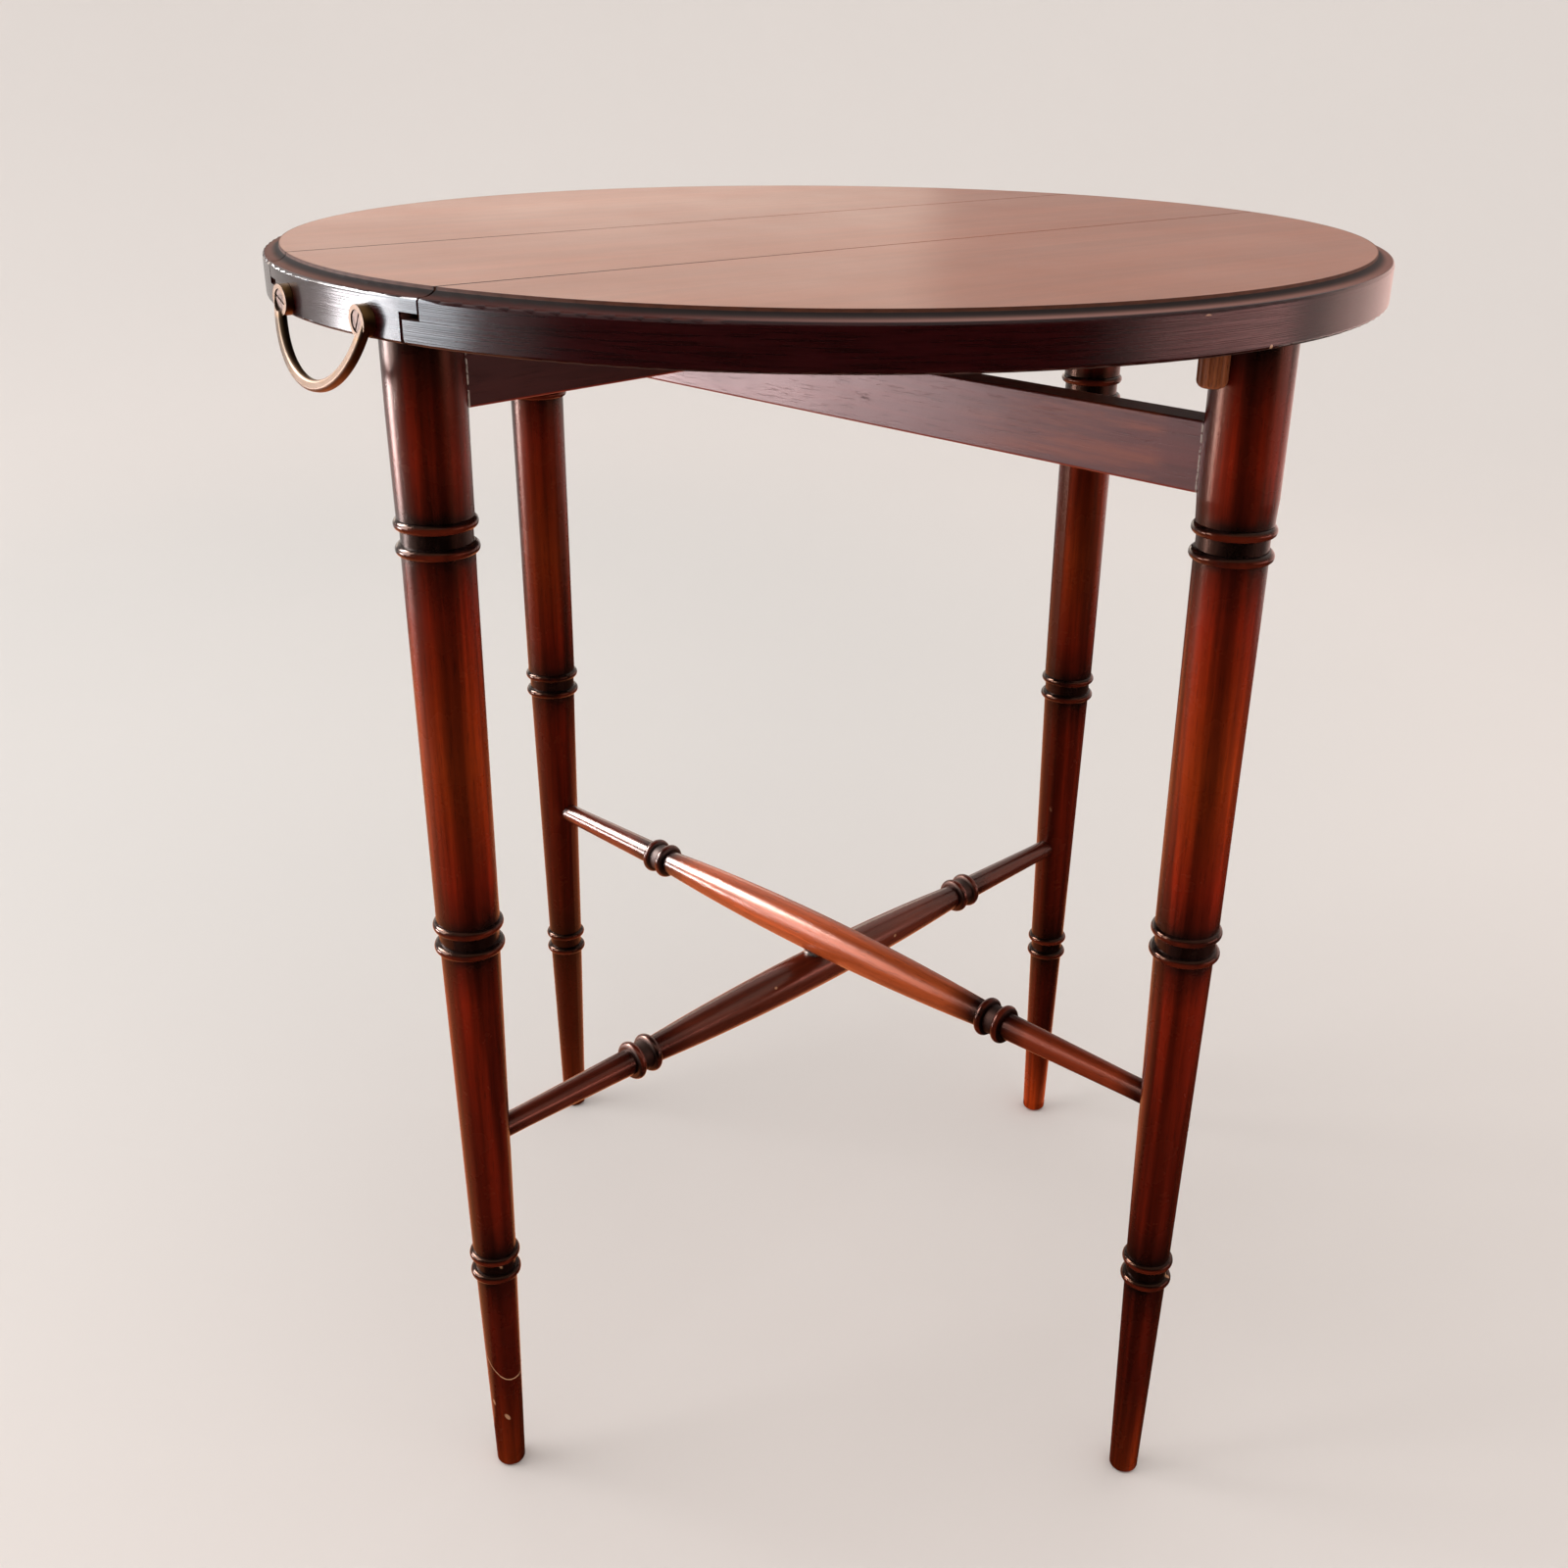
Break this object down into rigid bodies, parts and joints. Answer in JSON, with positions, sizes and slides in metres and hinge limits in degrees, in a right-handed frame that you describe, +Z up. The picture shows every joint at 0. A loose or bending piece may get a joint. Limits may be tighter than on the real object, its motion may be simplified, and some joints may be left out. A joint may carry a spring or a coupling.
{
  "type": "folding occasional table",
  "caption": "Round drop-leaf occasional table: a centre board with hinged leaves on crossing frames of ringed, turned legs, one frame swinging under the leaves to hold them up.",
  "frame": {"origin": "on the floor under the pivot bolt at the middle of the round top", "axes": "+Z up; +X along the centre board from the handle end to the far end; the near leaf is at -Y"},
  "size_m": [0.5697, 0.56, 0.665],
  "materials": {
    "top_wood": "gloss lacquer",
    "leg_wood": "gloss lacquer, shaded to near black at the rings",
    "stretcher_wood": "gloss lacquer, shaded to near black at the rings",
    "rail_wood": "satin lacquer",
    "dowel_wood": "bare, dull",
    "handle_brass": "aged, worn bright at the edges",
    "handle_screw_brass": "aged",
    "hinge_brass": "dull",
    "fastener_steel": "dull"
  },
  "bodies": {
    "board_and_fixed_frame": {"centre_board": "top_wood", "fixed_rail": "rail_wood", "fixed_leg_handle_end": "leg_wood", "fixed_leg_far_end": "leg_wood", "fixed_stretcher": "stretcher_wood", "handle": "handle_brass", "handle_screws": "handle_screw_brass", "near_hinge_board_flaps": "hinge_brass", "far_hinge_board_flaps": "hinge_brass", "hinge_pins": "fastener_steel", "hinge_board_screws": "fastener_steel", "rail_screws": "fastener_steel", "pivot_bolt": "fastener_steel", "pivot_nut": "fastener_steel", "pivot_washer": "fastener_steel", "rail_washer": "fastener_steel", "stretcher_pin": "fastener_steel", "stretcher_washer": "fastener_steel"},
    "swing_frame": {"swing_rail": "rail_wood", "swing_leg_near": "leg_wood", "swing_leg_far": "leg_wood", "swing_stretcher": "stretcher_wood"},
    "near_leaf_group": {"near_leaf": "top_wood", "near_hinge_leaf_flaps": "hinge_brass", "near_hinge_leaf_screws": "fastener_steel", "near_stop_dowel": "dowel_wood"},
    "far_leaf_group": {"far_leaf": "top_wood", "far_hinge_leaf_flaps": "hinge_brass", "far_hinge_leaf_screws": "fastener_steel", "far_stop_dowel": "dowel_wood"}
  },
  "joints": [
    {"name": "swing_frame_turn", "type": "hinge", "parent": "board_and_fixed_frame", "child": "swing_frame", "pos_m": [0, 0, 0.6055], "axis": [0, 0, 1], "range_deg": [0, 81]},
    {"name": "near_leaf_lift", "type": "hinge", "parent": "board_and_fixed_frame", "child": "near_leaf_group", "pos_m": [0, -0.0655, 0.6455], "axis": [-1, 0, 0], "range_deg": [0, 2.5]},
    {"name": "far_leaf_lift", "type": "hinge", "parent": "board_and_fixed_frame", "child": "far_leaf_group", "pos_m": [0, 0.0655, 0.6455], "axis": [1, 0, 0], "range_deg": [0, 2.5]}
  ]
}
